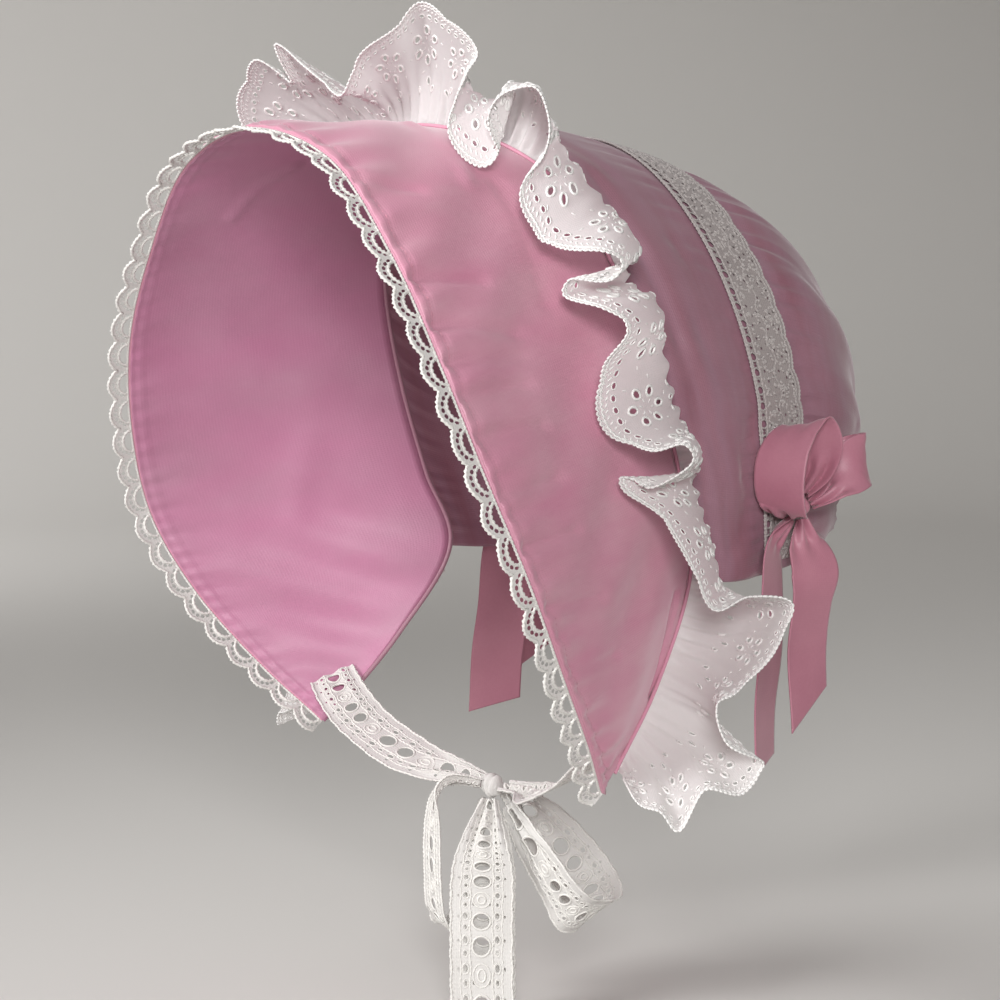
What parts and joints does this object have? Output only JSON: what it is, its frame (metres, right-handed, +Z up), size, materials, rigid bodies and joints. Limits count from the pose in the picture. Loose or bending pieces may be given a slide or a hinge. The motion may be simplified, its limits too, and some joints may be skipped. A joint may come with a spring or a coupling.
{
  "type": "lolita bonnet",
  "caption": "Wide-brimmed bonnet with a gathered crown, wavy eyelet ruffle over the seam, lace rim and crown band, side bows and a lace chin tie.",
  "frame": {"origin": "inside top of the crown, where the bonnet sits on a head", "axes": "faces -Y, wearer's left is +X, +Z is up"},
  "size_m": [0.319, 0.3119, 0.438],
  "materials": {
    "pink_cloth": "dusty pink cotton, matt",
    "lining_satin": "deep pink satin lining, soft sheen",
    "ivory_lace": "ivory crochet and eyelet lace",
    "eyelet_cotton": "white eyelet cotton",
    "bow_satin": "pink satin ribbon"
  },
  "bodies": {
    "root": {"brim_shell": "pink_cloth", "brim_lining": "lining_satin", "rim_lace": "ivory_lace", "ruffle": "eyelet_cotton", "crown": "pink_cloth", "crown_lace_band": "ivory_lace", "bow_left_loop_up": "bow_satin", "bow_left_loop_back": "bow_satin", "bow_left_tail_long": "bow_satin", "bow_left_tail_short": "bow_satin", "bow_left_knot": "bow_satin", "bow_right_loop_up": "bow_satin", "bow_right_loop_back": "bow_satin", "bow_right_tail_long": "bow_satin", "bow_right_tail_short": "bow_satin", "bow_right_knot": "bow_satin", "tie_strap_left": "ivory_lace", "tie_strap_right": "ivory_lace", "tie_loop_left": "ivory_lace", "tie_loop_right": "ivory_lace", "tie_tail_front": "ivory_lace", "tie_tail_back": "ivory_lace", "tie_knot": "ivory_lace"}
  },
  "joints": []
}
